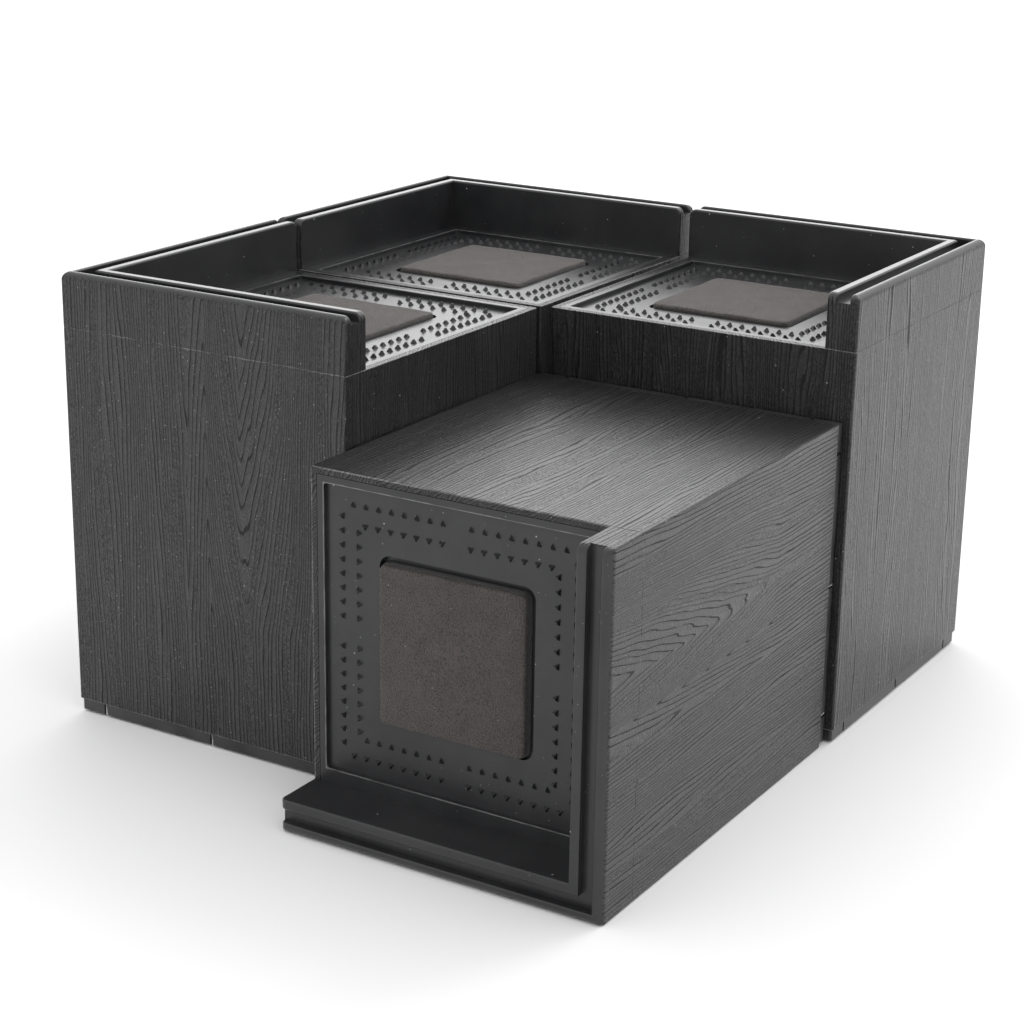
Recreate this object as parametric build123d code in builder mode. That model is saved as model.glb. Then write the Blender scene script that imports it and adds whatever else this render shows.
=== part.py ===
from build123d import *
from math import atan, degrees
import os

# A set of four furniture risers. Each is a square, hollow column with a platform on top,
# where a furniture leg stands on a foam pad inside an L-shaped fence. Three stand in the
# corners of a square and the fourth lies on its side in the last corner, with its platform
# outwards. Millimetres, +Z up, origin on the floor under the middle of the set.
#
# One riser is modelled upright about its own middle, with its fence along -X and -Y.
# The four copies are placed by planes at the end.

os.makedirs("parts", exist_ok=True)

# Driving dimensions of one riser
width = 127.0             # side of the square footprint
lift = 152.4              # floor to the platform's rim
fence_rise = 20.6         # fence above the rim
edge_round = 0.9          # upright outer edges

# Casing: the grained square tube
casing_wall = 2.4
seam_chamfer = 0.2        # bevel on both sides of the casing's joints

# Base plate
foot_proud = 0.9          # foot pads below the plate
base_strip = 4.5          # height of the visible edge of the plate
base_inset = 0.7          # plate's edge inside the casing's faces
upstand_high = 4.0        # locating ring inside the casing
upstand_wall = 2.0
slit_wide = 1.1           # snap-release slits in the edge
slit_deep = 1.0
slit_from_corner = 12.0

# Foot pads
foot_side = 22.0
foot_round = 3.0
foot_recess = 0.6
foot_from_edge = 7.0

# Platform tray
rim_band = 5.2            # rim between the fence or free edge and the field
field_deep = 1.7          # field below the rim
floor_thick = 5.0         # tray floor under the field
field_round = 1.2
pad_side = 58.0
pad_thick = 4.6
pad_round = 3.0
pocket_deep = 2.7         # pad pocket below the field
pocket_clear = 1.4        # pocket beyond the pad on each side

# Fence: two walls with a groove between them
fence_wall_out = 3.8
fence_wall_in = 3.7
groove_wide = 5.0
groove_deep = 3.2
fence_end_round = 2.8     # top corner at each free end
fence_edge_round = 0.8
web_thick = 2.5           # bridge under the groove
hollow_wide = 3.6         # moulded-out space under the web
hollow_end_wall = 3.0

# Grip studs on the field
stud_radius = 1.45        # of the circle round its triangle
stud_high = 1.3
stud_tip = 0.2            # inscribed radius left at the point
stud_pitch = 5.1
stud_group_gap = 11.0     # between the two groups of a row
stud_row_end = 2.7        # least space from a row's last stud to the row that crosses it
outer_row_inset = 6.6     # from the field's edge
row_spacing = 6.6

# Rib core
rib_thick = 2.0
rib_cells = 5

# Fits and spaces
slip = 0.2                # between pieces that slide together
column_gap = 3.5          # between the left and right columns of risers
row_gap = 2.5             # between the two risers of the left column
right_set_back = 1.5      # right riser behind the back riser
lying_gap = 0.6           # lying riser's foot pads to the riser behind
lying_shift = 2.5         # lying riser nearer the left column than the one behind it

# Derived sizes
half = width / 2
casing_bottom = foot_proud + base_strip
plug = width - 2 * casing_wall - 2 * slip
fence_thick = fence_wall_out + groove_wide + fence_wall_in
tray_side = width - fence_thick
tray_middle = fence_thick / 2
field_side = tray_side - 2 * rim_band
field_z = lift - field_deep
cap_bottom = field_z - floor_thick
fence_top = lift + fence_rise
groove_floor = fence_top - groove_deep
pocket_side = pad_side + 2 * pocket_clear
core_side = plug - 2 * upstand_wall - 2 * slip
field_plane = Plane(origin=(tray_middle, tray_middle, field_z))


def fence_band(near, far, end_wall=0.0):
    """Sketch the L between two distances from the -X and -Y faces, short of the free ends."""
    reach = width - end_wall
    with Locations((reach - half, reach - half)):
        Rectangle(reach - near, reach - near, align=(Align.MAX, Align.MAX))
        Rectangle(reach - far, reach - far, align=(Align.MAX, Align.MAX), mode=Mode.SUBTRACT)


# Casing: grained tube from the base plate's shoulder to the rim
with BuildPart() as casing:
    with BuildSketch(Plane.XY.offset(casing_bottom)):
        RectangleRounded(width, width, edge_round)
        Rectangle(width - 2 * casing_wall, width - 2 * casing_wall, mode=Mode.SUBTRACT)
    extrude(amount=lift - casing_bottom)
    ends = casing.faces().filter_by(Axis.Z)
    outer_rings = [face.outer_wire().edges() for face in ends]
    chamfer([edge for ring in outer_rings for edge in ring], seam_chamfer)

# Platform cap: tray, studs and double-walled fence in one moulding
with BuildPart() as platform_cap:
    with BuildSketch(Plane.XY.offset(cap_bottom)):
        Rectangle(plug, plug)
    extrude(amount=lift - cap_bottom)
    with BuildSketch(Plane.XY.offset(lift)):
        RectangleRounded(width, width, edge_round)
        with Locations((half, half)):
            Rectangle(tray_side, tray_side, align=(Align.MAX, Align.MAX), mode=Mode.SUBTRACT)
    extrude(amount=fence_rise)

    # Bevel where the fence stands on the casing
    seam_faces = platform_cap.faces().filter_by(Plane.XY).filter_by_position(Axis.Z, lift - 0.01, lift + 0.01)
    seam_edges = seam_faces.edges().filter_by(lambda e: min(e.center().X, e.center().Y) < -half + edge_round)
    chamfer(seam_edges, seam_chamfer)

    # Groove along the top of the fence, open at both free ends
    with BuildSketch(Plane.XY.offset(groove_floor)):
        fence_band(fence_wall_out, fence_wall_out + groove_wide)
    extrude(amount=groove_deep, mode=Mode.SUBTRACT)

    # Free ends of the two walls are rounded in side view
    top_edges = platform_cap.edges().filter_by_position(Axis.Z, fence_top - 0.01, fence_top + 0.01)
    end_round = min(fence_end_round, groove_deep - slip)
    fillet(top_edges.filter_by(Axis.Y).group_by(Axis.X)[-1], end_round)
    top_edges = platform_cap.edges().filter_by_position(Axis.Z, fence_top - 0.01, fence_top + 0.01)
    fillet(top_edges.filter_by(Axis.X).group_by(Axis.Y)[-1], end_round)

    # Softened top edges of the fence
    fence_tops = platform_cap.faces().filter_by_position(Axis.Z, fence_top - 0.01, fence_top + 0.01)
    fillet(fence_tops.edges(), min(fence_edge_round, fence_wall_in / 3, fence_wall_out / 3))

    # Moulded-out space under the groove
    with BuildSketch(Plane.XY.offset(cap_bottom)):
        hollow_far = fence_wall_out + groove_wide
        fence_band(hollow_far - hollow_wide, hollow_far, hollow_end_wall)
    extrude(amount=groove_floor - web_thick - cap_bottom, mode=Mode.SUBTRACT)

    # Field and pad pocket
    with BuildSketch(field_plane):
        RectangleRounded(field_side, field_side, field_round)
    extrude(amount=field_deep, mode=Mode.SUBTRACT)
    with BuildSketch(field_plane):
        RectangleRounded(pocket_side, pocket_side, pad_round + pocket_clear)
    extrude(amount=-pocket_deep, mode=Mode.SUBTRACT)

    # Studs: two rows a side, each in two groups, pointing away from each other
    with BuildSketch(field_plane):
        outer_row = field_side / 2 - outer_row_inset
        for turn in range(4):
            for row, point in ((outer_row, 90), (outer_row - row_spacing, -90)):
                row_reach = row - stud_group_gap / 2 - stud_row_end
                for stud in range(int(row_reach // stud_pitch) + 1):
                    for hand in (-1, 1):
                        along = hand * (stud_group_gap / 2 + stud * stud_pitch)
                        spot = Vector(along, row).rotate(Axis.Z, 90 * turn)
                        with Locations((spot.X, spot.Y)):
                            RegularPolygon(stud_radius, 3, rotation=90 * turn + point)
    stud_slope = (stud_radius / 2 - stud_tip) / stud_high
    extrude(amount=stud_high, taper=degrees(atan(stud_slope)))

# Rib core: egg-crate that carries the load from the tray to the base plate
with BuildPart() as rib_core:
    with BuildSketch(Plane.XY.offset(casing_bottom)):
        Rectangle(core_side, core_side)
        cell = (core_side - (rib_cells + 1) * rib_thick) / rib_cells
        with GridLocations(cell + rib_thick, cell + rib_thick, rib_cells, rib_cells):
            Rectangle(cell, cell, mode=Mode.SUBTRACT)
    extrude(amount=cap_bottom - casing_bottom)

# Base plate: visible inset edge, and a ring that locates the casing and the core
with BuildPart() as base_plate:
    with BuildSketch(Plane.XY.offset(foot_proud)):
        RectangleRounded(width - 2 * base_inset, width - 2 * base_inset, edge_round)
    extrude(amount=base_strip)
    with BuildSketch(Plane.XY.offset(casing_bottom)):
        Rectangle(plug, plug)
        Rectangle(plug - 2 * upstand_wall, plug - 2 * upstand_wall, mode=Mode.SUBTRACT)
    extrude(amount=upstand_high)
    with BuildSketch(Plane.XY.offset(foot_proud)):
        for turn in range(4):
            for along in (slit_from_corner - half, 0, half - slit_from_corner):
                spot = Vector(along, half - base_inset - slit_deep / 2).rotate(Axis.Z, 90 * turn)
                with Locations((spot.X, spot.Y)):
                    Rectangle(slit_wide, slit_deep, rotation=90 * turn)
    extrude(amount=base_strip, mode=Mode.SUBTRACT)
    foot_step = width - 2 * foot_from_edge - foot_side
    with BuildSketch(Plane.XY.offset(foot_proud)):
        with GridLocations(foot_step, foot_step, 2, 2):
            RectangleRounded(foot_side + 2 * slip, foot_side + 2 * slip, foot_round + slip)
    extrude(amount=foot_recess, mode=Mode.SUBTRACT)

# Foot pads: four thin foam squares set in the plate's recesses
with BuildPart() as foot_pads:
    with BuildSketch():
        with GridLocations(foot_step, foot_step, 2, 2):
            RectangleRounded(foot_side, foot_side, foot_round)
    extrude(amount=foot_proud + foot_recess)

# Foam pad in the tray's pocket
with BuildPart() as foam_pad:
    with BuildSketch(field_plane.offset(-pocket_deep)):
        RectangleRounded(pad_side, pad_side, pad_round)
    extrude(amount=pad_thick)

# The set: three risers upright with their fences outwards, one on its side
set_y = width + lying_gap + fence_top
right_x = (width + column_gap) / 2
right_y = (set_y - width) / 2
back_y = right_y - right_set_back
left_y = back_y - width - row_gap
places = {
    "back": Plane(origin=(-right_x, back_y, 0), x_dir=(0, -1, 0), z_dir=(0, 0, 1)),
    "left": Plane(origin=(-right_x, left_y, 0), x_dir=(1, 0, 0), z_dir=(0, 0, 1)),
    "right": Plane(origin=(right_x, right_y, 0), x_dir=(-1, 0, 0), z_dir=(0, 0, 1)),
    "front": Plane(
        origin=(right_x - lying_shift, right_y - half - lying_gap, half),
        x_dir=(0, 0, 1),
        z_dir=(0, -1, 0),
    ),
}
pieces = {
    "casing": casing,
    "platform_cap": platform_cap,
    "rib_core": rib_core,
    "base_plate": base_plate,
    "foot_pads": foot_pads,
    "foam_pad": foam_pad,
}
for riser, place in places.items():
    for kind, piece in pieces.items():
        with BuildPart(place) as placed:
            add(piece.part)
        placed.part.label = f"{riser}_{kind}"
        export_step(placed.part, f"parts/{riser}_{kind}.step")
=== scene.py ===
from math import cos, pi, radians, sin

import bpy
from mathutils import Euler, Matrix, Vector


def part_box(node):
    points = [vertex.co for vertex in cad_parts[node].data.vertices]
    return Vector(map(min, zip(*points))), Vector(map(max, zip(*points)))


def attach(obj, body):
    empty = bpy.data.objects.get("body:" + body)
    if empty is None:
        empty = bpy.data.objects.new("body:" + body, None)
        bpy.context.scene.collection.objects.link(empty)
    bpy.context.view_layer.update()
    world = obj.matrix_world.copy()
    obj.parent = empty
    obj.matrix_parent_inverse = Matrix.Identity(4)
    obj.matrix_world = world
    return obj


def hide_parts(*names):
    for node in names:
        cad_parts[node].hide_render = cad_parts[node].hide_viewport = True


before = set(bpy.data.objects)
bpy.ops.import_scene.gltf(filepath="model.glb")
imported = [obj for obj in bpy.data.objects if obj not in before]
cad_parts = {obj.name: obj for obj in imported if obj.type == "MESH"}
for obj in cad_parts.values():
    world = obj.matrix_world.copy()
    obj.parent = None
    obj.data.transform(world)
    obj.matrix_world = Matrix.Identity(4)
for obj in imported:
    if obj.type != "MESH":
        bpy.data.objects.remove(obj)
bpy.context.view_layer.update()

# Risers
# Four identical square columns. Three stand and one lies on its side, so each has a
# frame of its own: feet at z = 0, height along z, fence along its -x and -y sides.
RISERS = ("left", "back", "right", "front")
UPRIGHT_TURN = {"left": 0, "back": -90, "right": 180}


def riser_frame(riser):
    """Where a riser's feet stand and how it is turned, as a matrix."""
    low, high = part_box(f"{riser}_casing")
    middle = (low + high) / 2
    feet_low, feet_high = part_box(f"{riser}_foot_pads")
    if riser in UPRIGHT_TURN:
        feet = Vector((middle.x, middle.y, feet_low.z))
        turn = Euler((0, 0, radians(UPRIGHT_TURN[riser]))).to_matrix()
    else:
        feet = Vector((middle.x, feet_high.y, middle.z))
        turn = Matrix(((0, -1, 0), (0, 0, -1), (1, 0, 0)))
    return Matrix.Translation(feet) @ turn.to_4x4()


RISER_FRAME = {riser: riser_frame(riser) for riser in RISERS}


def box_in_riser(riser, node):
    """A node's least and greatest corners in its riser's own frame."""
    into_riser = RISER_FRAME[riser].inverted()
    first, second = (into_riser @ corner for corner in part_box(node))
    lows = [min(pair) for pair in zip(first, second)]
    highs = [max(pair) for pair in zip(first, second)]
    return Vector(lows), Vector(highs)


CASING_LOW, CASING_HIGH = box_in_riser("left", "left_casing")
HALF_SIDE = CASING_HIGH.x
RIM_LEVEL = CASING_HIGH.z
CASING_FOOT = CASING_LOW.z


# Casing
# A square tube of black ABS, moulded in a tool etched with flat-sawn wood grain. The
# heart of the grain runs just under one face, which gives that face its arches.
MM = 1000.0


class Wiring:
    """Adds nodes to one tree and links them in the order they're written."""

    def __init__(self, tree):
        self.tree = tree

    def put(self, socket, value):
        if isinstance(value, bpy.types.NodeSocket):
            self.tree.links.new(value, socket)
        else:
            socket.default_value = value

    def node(self, kind, *values, **settings):
        made = self.tree.nodes.new(kind)
        for name, setting in settings.items():
            setattr(made, name, setting)
        for socket, value in zip(made.inputs, values):
            self.put(socket, value)
        return made

    def math(self, operation, *values):
        return self.node("ShaderNodeMath", *values, operation=operation).outputs[0]

    def vector(self, operation, *values):
        return self.node("ShaderNodeVectorMath", *values, operation=operation).outputs[0]

    def parts(self, place):
        return self.node("ShaderNodeSeparateXYZ", place).outputs

    def in_mm(self, place):
        made = self.node("ShaderNodeVectorMath", place, operation="SCALE")
        made.inputs["Scale"].default_value = MM
        return made.outputs[0]

    def ramp(self, value, start, end, low=0.0, high=1.0):
        settings = {"interpolation_type": "SMOOTHSTEP"}
        return self.node("ShaderNodeMapRange", value, start, end, low, high, **settings).outputs[0]

    def noise(self, place, scale, detail=2.0, rough=0.5):
        made = self.node("ShaderNodeTexNoise")
        self.put(made.inputs["Vector"], place)
        made.inputs["Scale"].default_value = scale
        made.inputs["Detail"].default_value = detail
        made.inputs["Roughness"].default_value = rough
        return made.outputs["Fac"]

    def noise_along(self, distance):
        """Noise that changes along one number only."""
        made = self.node("ShaderNodeTexNoise", noise_dimensions="1D")
        self.put(made.inputs["W"], distance)
        made.inputs["Scale"].default_value = 1.0
        return made.outputs["Fac"]

    def choose(self, share, first, second):
        """A number that goes from first to second as share goes from 0 to 1."""
        made = self.node("ShaderNodeMix", data_type="FLOAT")
        for socket, value in ((0, share), (2, first), (3, second)):
            self.put(made.inputs[socket], value)
        return made.outputs[0]

    def mix(self, share, first, second):
        made = self.node("ShaderNodeMix", data_type="RGBA")
        for socket, value in ((0, share), (6, first), (7, second)):
            self.put(made.inputs[socket], value)
        return made.outputs[2]


def effect_group(name, takes, gives):
    """An empty node group, its wiring, and its inlet and outlet."""
    group = bpy.data.node_groups.new(name, "ShaderNodeTree")
    for label, kind, value in takes:
        socket = group.interface.new_socket(label, in_out="INPUT", socket_type=kind)
        if value is not None:
            socket.default_value = value
    for label in gives:
        group.interface.new_socket(label, in_out="OUTPUT", socket_type="NodeSocketFloat")
    wiring = Wiring(group)
    return group, wiring, wiring.node("NodeGroupInput"), wiring.node("NodeGroupOutput")


def place_effect(wiring, group, place, **values):
    """One use of a group in a material, with values of its own."""
    made = wiring.node("ShaderNodeGroup", node_tree=group)
    wiring.put(made.inputs["Place"], place)
    for name, value in values.items():
        wiring.put(made.inputs[name.replace("_", " ")], value)
    return made.outputs


PLACE = ("Place", "NodeSocketVector", None)
NUMBER = "NodeSocketFloat"

# Pressed grain: growth rings round two heart lines just under one face. There they
# close in long nested arches that point at the foot; on the other faces they run straight.
# Places and heights are in millimetres, groove and shoulder widths in shares of a ring.
HEART_X = 21.0
HEART_Y = -MM * HALF_SIDE + 0.8
SECOND_HEART_X = -7.5
SECOND_HEART_LATER = 6.4
HEARTS_MERGE = 3.0
HEART_REACH = (6.0, 38.0)
ARCH_FACE_SKIN = 0.3
ALONG_GRAIN = (1.0, 1.0, 0.12)
SLOW_BEND = (0.045, 13.0)
QUICK_BEND = (0.2, 2.6)
GROOVE_HALF = (0.03, 0.18)
SHOULDER_HALF = (0.1, 0.36)
PORE_HALF = (0.015, 0.06)
GROOVE_DEPTH = 1.05
SHOULDER_RISE = 0.28
PORE_DEPTH = 0.6
ETCH_RISE = 0.3

GRAIN_TAKES = [
    PLACE,
    ("Ring spacing", NUMBER, 1.5),
    ("Arch slope", NUMBER, 0.12),
    ("Arch foot", NUMBER, 52.0),
]
GRAIN_GIVES = ["Height", "Groove", "Pore", "Tone"]

pressed_grain, wires, inlet, outlet = effect_group("pressed_grain", GRAIN_TAKES, GRAIN_GIVES)
place_mm = wires.in_mm(inlet.outputs["Place"])


def drift(wires, place, scale, reach):
    """Moves a place sideways, by up to about half of reach, in a smooth random way."""
    field = wires.node("ShaderNodeTexNoise")
    wires.put(field.inputs["Vector"], place)
    field.inputs["Scale"].default_value = scale
    field.inputs["Detail"].default_value = 1.0
    centred = wires.vector("SUBTRACT", field.outputs["Color"], (0.5, 0.5, 0.5))
    return wires.vector("MULTIPLY", centred, (reach, reach, 0.0))


# The place is bent twice, slowly and then quickly, so that no line runs dead straight.
along_grain = wires.vector("MULTIPLY", place_mm, ALONG_GRAIN)
bent = wires.vector("ADD", place_mm, drift(wires, along_grain, *SLOW_BEND))
bent = wires.vector("ADD", bent, drift(wires, along_grain, *QUICK_BEND))
bent_parts = wires.parts(bent)

# Rings on the arched face are distances from the nearer heart, less a climb that grows
# with height and closes them into arches.
from_heart = wires.math("ABSOLUTE", wires.math("SUBTRACT", bent_parts[0], HEART_X))
near_heart = wires.ramp(from_heart, *HEART_REACH, 1.0, 0.2)
climb = wires.math("SUBTRACT", bent_parts[2], inlet.outputs["Arch foot"])
climb = wires.math("MAXIMUM", climb, 0.0)
climb = wires.math("MULTIPLY", climb, inlet.outputs["Arch slope"])
climb = wires.math("MULTIPLY", climb, near_heart)
hearts = []
for heart_x, later in ((HEART_X, 0.0), (SECOND_HEART_X, SECOND_HEART_LATER)):
    across = wires.math("SUBTRACT", bent_parts[0], heart_x)
    depth = wires.math("SUBTRACT", bent_parts[1], HEART_Y)
    squared = wires.math("MULTIPLY_ADD", across, across, wires.math("MULTIPLY", depth, depth))
    hearts.append(wires.math("ADD", wires.math("SQRT", squared), later))
arched = wires.math("SUBTRACT", wires.math("SMOOTH_MIN", *hearts, HEARTS_MERGE), climb)

# The other faces are cut along straight rings.
straight = wires.math("ADD", bent_parts[0], bent_parts[1])
arch_face = wires.math("LESS_THAN", wires.parts(place_mm)[1], -MM * HALF_SIDE + ARCH_FACE_SKIN)
across_grain = wires.choose(arch_face, straight, arched)

# Years differ in width, and each line wanders a little.
rings = wires.math("DIVIDE", across_grain, inlet.outputs["Ring spacing"])
season = wires.noise_along(wires.math("MULTIPLY", rings, 0.45))
wander = wires.noise(wires.vector("MULTIPLY", place_mm, (1.0, 1.0, 0.2)), 0.55, 2.0, 0.6)
rings = wires.math("MULTIPLY_ADD", season, 0.7, rings)
rings = wires.math("MULTIPLY_ADD", wander, 0.26, rings)

# Bundles of years have faint grooves and many pores instead.
bundle = wires.noise_along(wires.math("MULTIPLY_ADD", rings, 0.21, 7.3))
bundle = wires.math("MULTIPLY_ADD", wires.noise(along_grain, 0.13, 2.0), 0.7, bundle)
bundle = wires.ramp(bundle, 0.9, 0.99)

# One groove to a ring, with a low shoulder on both sides. It is finer in the arches.
across_ring = wires.math("ABSOLUTE", wires.math("SUBTRACT", wires.math("FRACT", rings), 0.5))
in_arch = wires.math("MULTIPLY", wires.math("GREATER_THAN", climb, 0.0), near_heart)
in_arch = wires.math("MULTIPLY", in_arch, arch_face)
from_line = wires.math("MULTIPLY", across_ring, wires.math("MULTIPLY_ADD", in_arch, 0.45, 1.0))
line = wires.ramp(from_line, *GROOVE_HALF, 1.0, 0.0)
fade = wires.ramp(wires.noise(along_grain, 0.6, 2.0), 0.34, 0.5, 0.5, 1.0)
groove = wires.math("MULTIPLY", line, fade)
groove = wires.math("MULTIPLY", groove, wires.ramp(bundle, 0.0, 1.0, 1.0, 0.4))
shoulder = wires.math("MULTIPLY", wires.ramp(across_ring, *SHOULDER_HALF, 1.0, 0.0), fade)

# Pores are short worm tracks, and the etch is the tool's own fine tooth.
pore_place = wires.vector("MULTIPLY", place_mm, (1.0, 1.0, 0.62))
pore = wires.math("ABSOLUTE", wires.math("SUBTRACT", wires.noise(pore_place, 0.95, 1.0), 0.5))
pore = wires.ramp(pore, *PORE_HALF, 1.0, 0.0)
pore = wires.math("MULTIPLY", pore, wires.ramp(bundle, 0.0, 1.0, 0.25, 1.0))
etch = wires.noise(place_mm, 1.6, 2.0, 0.6)

height = wires.math("MULTIPLY", groove, -GROOVE_DEPTH)
height = wires.math("MULTIPLY_ADD", shoulder, SHOULDER_RISE, height)
height = wires.math("MULTIPLY_ADD", pore, -PORE_DEPTH, height)
height = wires.math("MULTIPLY_ADD", etch, ETCH_RISE, height)
sandy = wires.ramp(wires.noise(pore_place, 1.5, 2.0, 0.6), 0.38, 0.62)
cloudy = wires.ramp(wires.noise(along_grain, 0.2, 3.0, 0.6), 0.3, 0.7)
tone = wires.math("MULTIPLY_ADD", sandy, 0.65, wires.math("MULTIPLY", cloudy, 0.35))
wires.put(outlet.inputs["Height"], height)
wires.put(outlet.inputs["Groove"], groove)
wires.put(outlet.inputs["Pore"], pore)
wires.put(outlet.inputs["Tone"], tone)

# Settled dust: pale specks a few tenths of a millimetre across, in two layers. Most are
# faint and fine, and a few are wider apart, larger and bright.
DUST_LAYERS = ((1.0, 1.0, 0.75), (2.4, 1.5, 1.0))

settled_dust, wires, inlet, outlet = effect_group(
    "settled_dust", [PLACE, ("Spacing", NUMBER, 2.1), ("Size", NUMBER, 0.2)], ["Mask"]
)
speck_layers = []
for wider, bigger, bright in DUST_LAYERS:
    spacing = wires.math("MULTIPLY", inlet.outputs["Spacing"], wider)
    cells = wires.node("ShaderNodeVectorMath", inlet.outputs["Place"], operation="SCALE")
    wires.put(cells.inputs["Scale"], wires.math("DIVIDE", MM, spacing))
    specks = wires.node("ShaderNodeTexVoronoi")
    wires.put(specks.inputs["Vector"], cells.outputs[0])
    specks.inputs["Scale"].default_value = 1.0
    own_size = wires.node("ShaderNodeSeparateColor", specks.outputs["Color"]).outputs
    grown = wires.ramp(own_size[0], 0.0, 0.6, 0.3, bigger)
    size = wires.math("MULTIPLY", inlet.outputs["Size"], grown)
    off_middle = wires.math("MULTIPLY", specks.outputs["Distance"], spacing)
    speck = wires.math("LESS_THAN", off_middle, size)
    speck_layers.append(wires.math("MULTIPLY", speck, wires.math("MULTIPLY", own_size[1], bright)))
wires.put(outlet.inputs["Mask"], wires.math("MAXIMUM", *speck_layers))

# Hair line: where two halves of a mould or two parts meet, a hair of pale flash stands
# along the line and comes and goes. The same hair also draws painted highlights along edges.
hair_line, wires, inlet, outlet = effect_group(
    "hair_line", [PLACE, ("Off line", NUMBER, 0.0), ("Half width", NUMBER, 0.22)], ["Mask"]
)
hair_place = wires.in_mm(inlet.outputs["Place"])
wander = wires.math("SUBTRACT", wires.noise(hair_place, 0.35, 3.0, 0.7), 0.5)
off_line = wires.math("MULTIPLY_ADD", wander, 0.5, inlet.outputs["Off line"])
near = wires.math("DIVIDE", wires.math("ABSOLUTE", off_line), inlet.outputs["Half width"])
hair = wires.ramp(near, 0.5, 1.0, 1.0, 0.0)
comes = wires.ramp(wires.noise(hair_place, 0.12, 2.0), 0.36, 0.58, 0.45, 1.0)
wires.put(outlet.inputs["Mask"], wires.math("MULTIPLY", hair, comes))


def riser_place(wires, riser):
    """Place on the surface in the riser's own frame, in metres."""
    spot = wires.node("ShaderNodeTexCoord").outputs["Object"]
    mapping = wires.node("ShaderNodeMapping", vector_type="TEXTURE")
    wires.put(mapping.inputs["Vector"], spot)
    mapping.inputs["Location"].default_value = RISER_FRAME[riser].to_translation()
    mapping.inputs["Rotation"].default_value = RISER_FRAME[riser].to_euler()
    return mapping.outputs[0]


def new_material(name):
    """A new material, its wiring, and its shader."""
    material = bpy.data.materials.new(name)
    material.use_nodes = True
    wires = Wiring(material.node_tree)
    shader = material.node_tree.nodes["Principled BSDF"]
    return material, wires, shader


def raise_surface(wires, shader, height):
    """Feeds a height in millimetres to the shader's normal."""
    bump = wires.node("ShaderNodeBump")
    bump.inputs["Strength"].default_value = 1.0
    bump.inputs["Distance"].default_value = 1 / MM
    wires.put(bump.inputs["Height"], height)
    wires.put(shader.inputs["Normal"], bump.outputs["Normal"])


GRAIN_BLACK = (0.010, 0.010, 0.0105, 1.0)
GRAIN_GREY = (0.038, 0.038, 0.039, 1.0)
GROOVE_SHADE_BLACK = (0.002, 0.002, 0.002, 1.0)
GROOVE_SHADE = 0.6
GRAIN_ROUGH = 0.34
GROOVE_ROUGHER = 0.4
DUST_WHITE = (0.42, 0.42, 0.41, 1.0)
FLASH_AND_HIGHLIGHT_GREY = (0.22, 0.22, 0.22, 1.0)
OUTER_SKIN = (0.0007, 0.0002)
SKIN_SHINE = 0.64
BROKEN_SHINE = 0.24
FOOT_FLASH = 0.42
CASING_DUST_SPACING = 2.1


def outer_face(wires, place):
    """1 on the flat outer faces of the column, and 0 a few tenths of a millimetre inside."""
    parts = wires.parts(wires.vector("ABSOLUTE", place))
    out_to = wires.math("MAXIMUM", parts[0], parts[1])
    return wires.ramp(out_to, *(HALF_SIDE - deep for deep in OUTER_SKIN))


def skin_gloss(wires, shader, worn):
    """Most of the shine sits in a thin skin, which the pressed lines break."""
    shader.inputs["Specular IOR Level"].default_value = 0.2
    shader.inputs["Coat Roughness"].default_value = 0.3
    shader.inputs["Coat IOR"].default_value = 1.5
    shine = wires.ramp(worn, 0.0, 1.0, SKIN_SHINE, BROKEN_SHINE)
    wires.put(shader.inputs["Coat Weight"], shine)


def grained_colour(wires, grain):
    colour = wires.mix(grain["Tone"], GRAIN_BLACK, GRAIN_GREY)
    # Painted shade: grooves and pores are darkened towards near black, standing in for the shade
    # that gathers in them.
    for mark in ("Pore", "Groove"):
        colour = wires.mix(wires.math("MULTIPLY", grain[mark], GROOVE_SHADE), colour, GROOVE_SHADE_BLACK)
    return colour


def grained_roughness(wires, grain):
    return wires.math("MULTIPLY_ADD", grain["Groove"], GROOVE_ROUGHER, GRAIN_ROUGH)


def grain_wear(wires, grain):
    """How far the pressed lines break the shiny skin."""
    return wires.math("MULTIPLY_ADD", grain["Pore"], 0.6, grain["Groove"])


def mm_above(wires, place, level):
    """Height over a level of the riser, in millimetres."""
    return wires.math("MULTIPLY", wires.math("SUBTRACT", wires.parts(place)[2], level), MM)


def dust_over(wires, shader, place, colour, spacing):
    dust = place_effect(wires, settled_dust, place, Spacing=spacing)
    wires.put(shader.inputs["Base Color"], wires.mix(dust["Mask"], colour, DUST_WHITE))


def dress(node, material):
    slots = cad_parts[node].data.materials
    slots.clear()
    slots.append(material)


for riser in RISERS:
    material, wires, shader = new_material(f"{riser}_grained_casing")
    place = riser_place(wires, riser)
    grain = place_effect(wires, pressed_grain, place)
    above_foot = mm_above(wires, place, CASING_FOOT)
    above_rim = mm_above(wires, place, RIM_LEVEL)
    foot_line = place_effect(wires, hair_line, place, Off_line=above_foot, Half_width=FOOT_FLASH)
    # Partly painted highlight: the hair at rim level is flash where the cap's fence meets the
    # casing, and a painted highlight along the top outer edge elsewhere.
    rim_flash_and_highlight = place_effect(wires, hair_line, place, Off_line=above_rim)
    flash_and_highlight = wires.math("MAXIMUM", foot_line["Mask"], rim_flash_and_highlight["Mask"])
    flash_and_highlight = wires.math("MULTIPLY", flash_and_highlight, outer_face(wires, place))
    colour = wires.mix(flash_and_highlight, grained_colour(wires, grain), FLASH_AND_HIGHLIGHT_GREY)
    dust_over(wires, shader, place, colour, CASING_DUST_SPACING)
    wires.put(shader.inputs["Roughness"], grained_roughness(wires, grain))
    skin_gloss(wires, shader, grain_wear(wires, grain))
    raise_surface(wires, shader, grain["Height"])
    dress(f"{riser}_casing", material)


# Platform cap
# One black moulding: smooth tray with its studs, and the double-walled fence. The
# fence's outer faces and free ends carry the same pressed grain as the casing.
SKIN_RISE = 0.02

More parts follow.
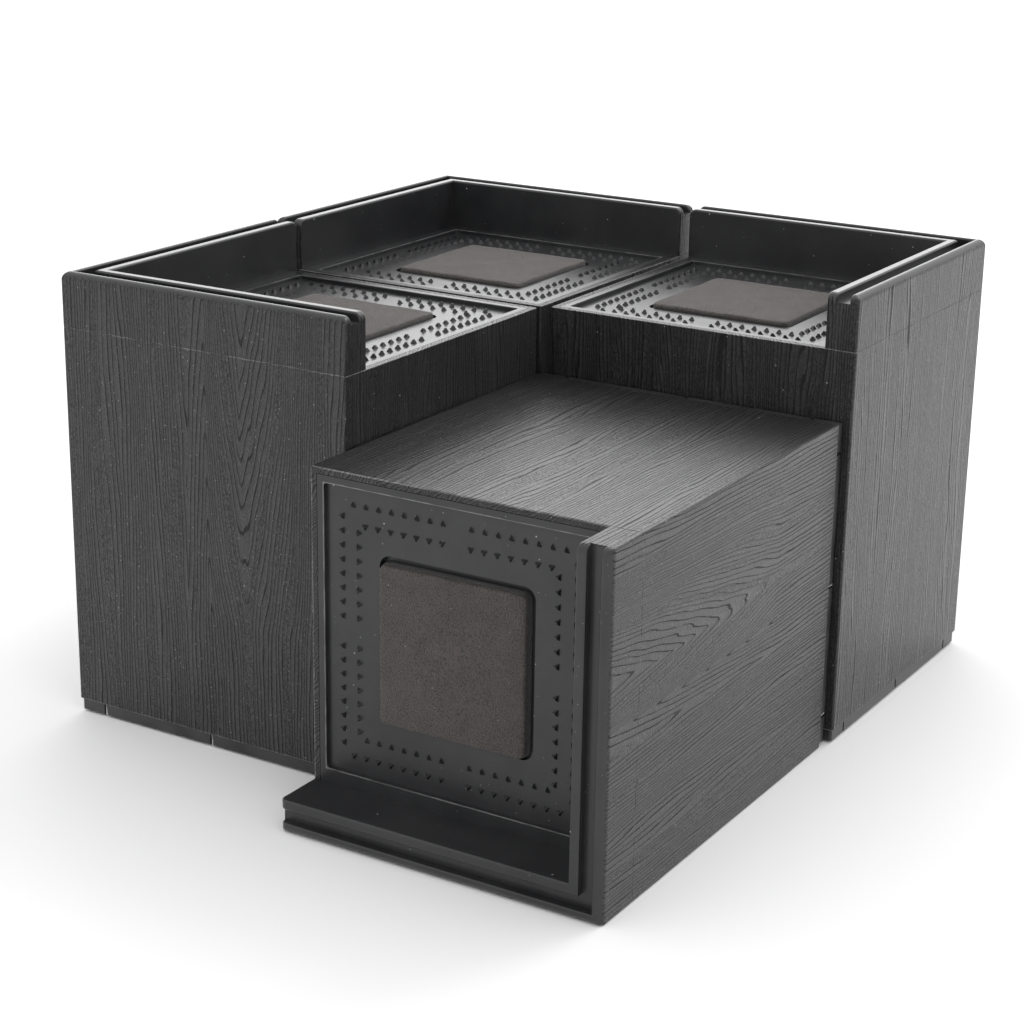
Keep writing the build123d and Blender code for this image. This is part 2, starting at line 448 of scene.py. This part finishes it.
moulded_skin, wires, inlet, outlet = effect_group("moulded_skin", [PLACE], ["Height", "Tone"])
skin_mm = wires.in_mm(inlet.outputs["Place"])
peel = wires.math("MULTIPLY", wires.noise(skin_mm, 0.9, 2.0), SKIN_RISE)
spark = wires.noise(skin_mm, 4.0, 1.0)
wires.put(outlet.inputs["Height"], wires.math("MULTIPLY_ADD", spark, SKIN_RISE, peel))
tone = wires.noise(skin_mm, 0.05, 4.0, 0.6)
wires.put(outlet.inputs["Tone"], wires.ramp(tone, 0.3, 0.7))

PAD_LOW, PAD_HIGH = box_in_riser("left", "left_foam_pad")
TRAY_MIDDLE = (PAD_LOW.x + PAD_HIGH.x) / 2
RIM_BAND = 0.0052
FIELD_REACH = HALF_SIDE - TRAY_MIDDLE - RIM_BAND
SKIN_DARK = (0.014, 0.0145, 0.016, 1.0)
SKIN_PALE = (0.022, 0.0225, 0.024, 1.0)
SKIN_ROUGH = 0.29
SKIN_ROUGHER = 0.04
EDGE_HIGHLIGHT_HALF = 0.4
EDGE_HIGHLIGHT = 0.7
EDGE_HIGHLIGHT_DEEP = 0.35
CAP_DUST_SPACING = 3.0

for riser in RISERS:
    material, wires, shader = new_material(f"{riser}_platform_plastic")
    place = riser_place(wires, riser)
    grain = place_effect(wires, pressed_grain, place)
    skin = place_effect(wires, moulded_skin, place)
    outside = outer_face(wires, place)
    skin_colour = wires.mix(skin["Tone"], SKIN_DARK, SKIN_PALE)
    colour = wires.mix(outside, skin_colour, grained_colour(wires, grain))

    above_rim = mm_above(wires, place, RIM_LEVEL)
    # Partly painted highlight: the hair at rim level is flash at the seam under the fence, and a
    # painted highlight along the rim's top outer edge elsewhere.
    rim_flash_and_highlight = place_effect(wires, hair_line, place, Off_line=above_rim)
    flash_and_highlight = wires.math("MULTIPLY", rim_flash_and_highlight["Mask"], outside)
    # Painted highlight: a pale hair along the rim's inner edge round the tray's field, standing in
    # for the light the edge catches. It joins the flash and takes the same grey.
    from_middle = wires.vector("SUBTRACT", place, (TRAY_MIDDLE, TRAY_MIDDLE, 0.0))
    from_middle = wires.parts(wires.vector("ABSOLUTE", from_middle))
    past_field = wires.math("MAXIMUM", from_middle[0], from_middle[1])
    past_field = wires.math("MULTIPLY", wires.math("SUBTRACT", past_field, FIELD_REACH), MM)
    edge_highlight_line = place_effect(wires, hair_line, place, Off_line=past_field, Half_width=EDGE_HIGHLIGHT_HALF)
    at_rim = wires.math("GREATER_THAN", above_rim, -EDGE_HIGHLIGHT_DEEP)
    painted_edge_highlight = wires.math("MULTIPLY", edge_highlight_line["Mask"], at_rim)
    flash_and_highlight = wires.math("MAXIMUM", flash_and_highlight, wires.math("MULTIPLY", painted_edge_highlight, EDGE_HIGHLIGHT))
    colour = wires.mix(flash_and_highlight, colour, FLASH_AND_HIGHLIGHT_GREY)
    dust_over(wires, shader, place, colour, CAP_DUST_SPACING)

    skin_rough = wires.math("MULTIPLY_ADD", skin["Tone"], SKIN_ROUGHER, SKIN_ROUGH)
    rough = wires.choose(outside, skin_rough, grained_roughness(wires, grain))
    wires.put(shader.inputs["Roughness"], rough)
    skin_gloss(wires, shader, wires.math("MULTIPLY", grain_wear(wires, grain), outside))
    raise_surface(wires, shader, wires.choose(outside, skin["Height"], grain["Height"]))
    dress(f"{riser}_platform_cap", material)


# Base plate and rib core
# Plain black mouldings. Only the plate's edge shows, as an inset strip under the casing;
# the plastic beside two of its release slits is stressed white.
CORNER_SLIT = 0.012 - HALF_SIDE
MIDDLE_SLIT = 0.0
SLIT_SLANT = 0.12
STRESS_HALF = 0.75
STRESS_WHITE = (0.75, 0.75, 0.74, 1.0)
STRIP_DEPTH = 0.003
BASE_ROUGH = 0.42
BASE_ROUGHER = 0.10

for riser in RISERS:
    material, wires, shader = new_material(f"{riser}_base_plastic")
    place = riser_place(wires, riser)
    skin = place_effect(wires, moulded_skin, place)
    colour = wires.mix(skin["Tone"], GRAIN_BLACK, GRAIN_GREY)

    across, inward, _ = wires.parts(place)
    beside = []
    for slit in (CORNER_SLIT, MIDDLE_SLIT):
        off_slit = wires.math("MULTIPLY", wires.math("SUBTRACT", across, slit), MM)
        above_foot = mm_above(wires, place, CASING_FOOT)
        slant = wires.math("MULTIPLY_ADD", above_foot, SLIT_SLANT, off_slit)
        mark = place_effect(wires, hair_line, place, Off_line=slant, Half_width=STRESS_HALF)
        beside.append(mark["Mask"])
    on_strip = wires.math("LESS_THAN", inward, -HALF_SIDE + STRIP_DEPTH)
    stressed = wires.math("MULTIPLY", wires.math("MAXIMUM", *beside), on_strip)
    wires.put(shader.inputs["Base Color"], wires.mix(stressed, colour, STRESS_WHITE))
    rough = wires.math("MULTIPLY_ADD", skin["Tone"], BASE_ROUGHER, BASE_ROUGH)
    wires.put(shader.inputs["Roughness"], rough)
    skin_gloss(wires, shader, stressed)
    raise_surface(wires, shader, skin["Height"])
    for piece in ("base_plate", "rib_core"):
        dress(f"{riser}_{piece}", material)


# Foam pads
# Die-cut squares of closed-cell EVA sponge, warm grey-brown, lying loose in the tray's
# pocket. The knife leaves straight sides and a tight roll at the top edge. The sides carry
# painted shade, dark as the pocket's shadow on them.
FOAM_SHADOW = (0.016, 0.0132, 0.012, 1.0)
FOAM_BROWN = (0.072, 0.0595, 0.054, 1.0)
FOAM_SIDE_SHADE = (0.006, 0.005, 0.0048, 1.0)
SIDE_SHADE = 0.9
SIDE_SHADE_BAND = (-2.4, -0.3)
GRIT_RISE = 0.13
CELL_RISE = 0.08
FOAM_DUST_SPACING = 3.6


def foam_material(riser):
    material, wires, shader = new_material(f"{riser}_sponge")
    place = riser_place(wires, riser)
    sponge_mm = wires.in_mm(place)
    cells = wires.node("ShaderNodeTexVoronoi")
    wires.put(cells.inputs["Vector"], sponge_mm)
    cells.inputs["Scale"].default_value = 2.6
    cell_wall = wires.ramp(cells.outputs["Distance"], 0.15, 0.75)
    mottle = wires.noise(sponge_mm, 0.16, 4.0, 0.65)
    grit = wires.ramp(wires.noise(sponge_mm, 1.7, 2.0, 0.7), 0.36, 0.64)
    shade = wires.math("MULTIPLY_ADD", cell_wall, 0.25, wires.math("MULTIPLY", mottle, 0.6))
    shade = wires.math("MULTIPLY_ADD", grit, 0.5, shade)
    colour = wires.mix(wires.ramp(shade, 0.3, 1.05), FOAM_SHADOW, FOAM_BROWN)

    # Painted shade: the pad's sides darken from just under the top edge downwards, standing in for
    # the pocket's shadow.
    above_top = mm_above(wires, place, PAD_HIGH.z)
    on_pad = wires.math("GREATER_THAN", above_top, -MM * RIM_LEVEL / 2)
    painted_side_shade = wires.ramp(above_top, *SIDE_SHADE_BAND, SIDE_SHADE, 0.0)
    painted_side_shade = wires.math("MULTIPLY", on_pad, painted_side_shade)
    colour = wires.mix(painted_side_shade, colour, FOAM_SIDE_SHADE)
    dust_over(wires, shader, place, colour, FOAM_DUST_SPACING)
    shader.inputs["Roughness"].default_value = 0.88
    shader.inputs["Sheen Weight"].default_value = 0.22
    shader.inputs["Sheen Roughness"].default_value = 0.5
    relief = wires.math("MULTIPLY", cell_wall, CELL_RISE)
    relief = wires.math("MULTIPLY_ADD", grit, GRIT_RISE, relief)
    raise_surface(wires, shader, relief)
    return material


SPONGE = {riser: foam_material(riser) for riser in RISERS}


def rounded_square(side, corner, along=12, turn=6):
    """Outline points of a square with round corners, anticlockwise from the +x side."""
    reach = side / 2 - corner
    points = []
    for quarter in range(4):
        middle = Vector((reach, reach)) @ Matrix.Rotation(-quarter * pi / 2, 2)
        for step in range(turn + 1):
            angle = (quarter + step / turn) * pi / 2
            points.append(middle + corner * Vector((cos(angle), sin(angle))))
        corner_end = points[-1]
        next_middle = Vector((reach, reach)) @ Matrix.Rotation(-(quarter + 1) * pi / 2, 2)
        angle = (quarter + 1) * pi / 2
        next_start = next_middle + corner * Vector((cos(angle), sin(angle)))
        points += [corner_end.lerp(next_start, step / along) for step in range(1, along)]
    return points


# Steps of the rolled edge, steps in over the top, and the top's slow waves.
ROLL_TURNS = (pi / 6, pi / 3, pi / 2.2)
TOP_SHARES = (0.08, 0.2, 0.34, 0.5, 0.66, 0.82, 0.94)
SWELL_X, SWELL_Y = 260, 310
SWELL_START_X, SWELL_START_Y = 90, 70


def foam_block(name, middle, side, low, high, corner, roll, crown, lean=0.0, turned=0.0):
    """Rings of a foam square, from its foot up its sides and in over its top."""
    thick = high - low
    profile = [(roll / 2, 0.0), (0.0, roll / 2), (lean * 0.4, thick / 2), (lean, thick - roll)]
    rolled = [(1 - cos(turn), 1 - sin(turn)) for turn in ROLL_TURNS]
    profile += [(lean + roll * inward, thick - crown - roll * down) for inward, down in rolled]
    flat = side / 2 - lean - roll
    for share in TOP_SHARES:
        inset = side / 2 - flat * (1 - share)
        profile.append((inset, thick - crown * (1 - sin(share * pi / 2))))

    verts = []
    for inset, rise in profile:
        ring_side = side - 2 * inset
        ring_corner = max(min(corner, ring_side / 2) - inset, ring_side * 0.04)
        for spot in rounded_square(ring_side, ring_corner):
            wave_x = sin(spot.x * SWELL_X + middle.y * SWELL_START_X)
            wave_y = cos(spot.y * SWELL_Y + middle.x * SWELL_START_Y)
            swell = 0.4 * crown * wave_x * wave_y
            verts.append((spot.x, spot.y, rise + (swell if rise > thick / 2 else 0.0)))

    around = len(rounded_square(side, corner))
    faces = [tuple(reversed(range(around)))]
    for ring in range(len(profile) - 1):
        start = ring * around
        for step in range(around):
            after = (step + 1) % around
            above = start + around
            faces.append((start + step, start + after, above + after, above + step))
    last = (len(profile) - 1) * around
    top = len(verts)
    verts.append((0.0, 0.0, thick))
    faces += [(last + step, last + (step + 1) % around, top) for step in range(around)]

    spin = Matrix.Rotation(turned, 3, "Z")
    foot = Vector((middle.x, middle.y, low))
    mesh = bpy.data.meshes.new(name)
    mesh.from_pydata([spin @ Vector(vert) + foot for vert in verts], [], faces)
    mesh.polygons.foreach_set("use_smooth", [True] * len(mesh.polygons))
    return mesh


def add_sponge(name, mesh, riser):
    """Sets a sponge mesh in its riser's place and lets it ride with the riser."""
    mesh.transform(RISER_FRAME[riser])
    mesh.update()
    mesh.materials.append(SPONGE[riser])
    piece = bpy.data.objects.new(name, mesh)
    bpy.context.collection.objects.link(piece)
    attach(piece, f"{riser}_riser")
    return piece


PAD_CORNER = 0.0016
PAD_ROLL = 0.0004
PAD_LEAN = 0.0005
PAD_CROWN = 0.0003
PAD_TURN = {"left": -0.012, "back": 0.010, "right": 0.006, "front": 0.004}
PAD_SHIFT = {
    "left": Vector((0.0002, 0.0, 0.0)),
    "back": Vector((0.0, 0.0003, 0.0)),
    "right": Vector((0.0, 0.0, 0.0)),
    "front": Vector((-0.0012, 0.0011, 0.0)),
}

for riser in RISERS:
    low, high = box_in_riser(riser, f"{riser}_foam_pad")
    middle = (low + high) / 2 + PAD_SHIFT[riser]
    side = high.x - low.x
    shape = (PAD_CORNER, PAD_ROLL, PAD_CROWN, PAD_LEAN, PAD_TURN[riser])
    block = foam_block(f"{riser}_leg_pad", middle, side, low.z, high.z, *shape)
    pad = add_sponge(f"{riser}_leg_pad", block, riser)
    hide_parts(f"{riser}_foam_pad")


# Foot pads
# Four thin squares of the same sponge, stuck in shallow recesses under the base plate's
# corners, so that the riser doesn't slide or mark the floor.
FOOT_SIDE = 0.022
FOOT_CORNER = 0.003
FOOT_ROLL = 0.0003

for riser in RISERS:
    low, high = box_in_riser(riser, f"{riser}_foot_pads")
    out = high.x - FOOT_SIDE / 2
    verts, faces = [], []
    for across in (-out, out):
        for along in (-out, out):
            spot = Vector((across, along))
            foot = foam_block("foot", spot, FOOT_SIDE, -high.z, -low.z, FOOT_CORNER, FOOT_ROLL, 0.0)
            foot.transform(Matrix.Rotation(pi, 4, "X"))
            faces += [[corner + len(verts) for corner in face.vertices] for face in foot.polygons]
            verts += [vert.co.copy() for vert in foot.vertices]
            bpy.data.meshes.remove(foot)
    feet_mesh = bpy.data.meshes.new(f"{riser}_grip_feet")
    feet_mesh.from_pydata(verts, [], faces)
    feet_mesh.polygons.foreach_set("use_smooth", [True] * len(feet_mesh.polygons))
    feet = add_sponge(f"{riser}_grip_feet", feet_mesh, riser)
    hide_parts(f"{riser}_foot_pads")


# Floor
# A plain white tabletop, wide enough to fill the view. It is matt, so the group
# throws only a soft shadow on it.
FLOOR_REACH = 9.0
FLOOR_WHITE = (0.92, 0.92, 0.92, 1.0)

floor_mesh = bpy.data.meshes.new("tabletop")
floor_corners = [(-FLOOR_REACH, -FLOOR_REACH, 0), (FLOOR_REACH, -FLOOR_REACH, 0)]
floor_corners += [(FLOOR_REACH, FLOOR_REACH, 0), (-FLOOR_REACH, FLOOR_REACH, 0)]
floor_mesh.from_pydata(floor_corners, [], [(0, 1, 2, 3)])
floor = bpy.data.objects.new("tabletop", floor_mesh)
bpy.context.collection.objects.link(floor)
material, wires, shader = new_material("white_tabletop")
shader.inputs["Base Color"].default_value = FLOOR_WHITE
shader.inputs["Roughness"].default_value = 0.9
shader.inputs["Specular IOR Level"].default_value = 0.1
floor_mesh.materials.append(material)


# Light
# A white room, with broad softboxes overhead and low down behind on the left, and a
# smaller one behind on the right that rakes the right-hand faces.
ROOM_WHITE = (1.0, 1.0, 1.0, 1.0)
ROOM_STRENGTH = 1.08
BOARD_SIZE = 1.4
SPOT_SIZE = 0.5

world = bpy.data.worlds.new("white_room")
world.use_nodes = True
world.node_tree.nodes["Background"].inputs["Color"].default_value = ROOM_WHITE
world.node_tree.nodes["Background"].inputs["Strength"].default_value = ROOM_STRENGTH
bpy.context.scene.world = world


def softbox(name, spot, aim, size, power):
    light = bpy.data.lights.new(name, "AREA")
    light.shape = "SQUARE"
    light.size = size
    light.energy = power
    lamp = bpy.data.objects.new(name, light)
    lamp.location = spot
    lamp.rotation_euler = (Vector(aim) - Vector(spot)).to_track_quat("-Z", "Y").to_euler()
    lamp.visible_camera = False
    bpy.context.collection.objects.link(lamp)


softbox("overhead_softbox", (0.1, 0.3, 1.6), (0.0, 0.0, 0.1), BOARD_SIZE, 4.0)
softbox("back_softbox", (-1.0, 1.7, 0.85), (0.0, 0.0, 0.1), BOARD_SIZE, 8.0)
softbox("grazing_softbox", (0.42, 0.9, 1.3), (0.1, 0.0, 0.1), SPOT_SIZE, 4.0)


# Camera
# Above and to the right of the front corner, looking down at the group.
CAMERA_SPOT = Vector((0.4373, -0.7220, 0.3522))
CAMERA_HEADING = radians(121.212)
CAMERA_DIP = radians(18.163)
CAMERA_ROLL = radians(0.891)
CAMERA_LENS = 80.57
CAMERA_SENSOR = 36.0

camera_data = bpy.data.cameras.new("studio_camera")
camera_data.lens = CAMERA_LENS
camera_data.sensor_width = CAMERA_SENSOR
camera = bpy.data.objects.new("studio_camera", camera_data)
ahead = cos(CAMERA_DIP)
forward = Vector((ahead * cos(CAMERA_HEADING), ahead * sin(CAMERA_HEADING), -sin(CAMERA_DIP)))
level = forward.to_track_quat("-Z", "Y").to_matrix().to_4x4()
camera.matrix_world = Matrix.Translation(CAMERA_SPOT) @ level @ Matrix.Rotation(CAMERA_ROLL, 4, "Z")
bpy.context.collection.objects.link(camera)
bpy.context.scene.camera = camera
bpy.context.scene.view_settings.view_transform = "Standard"
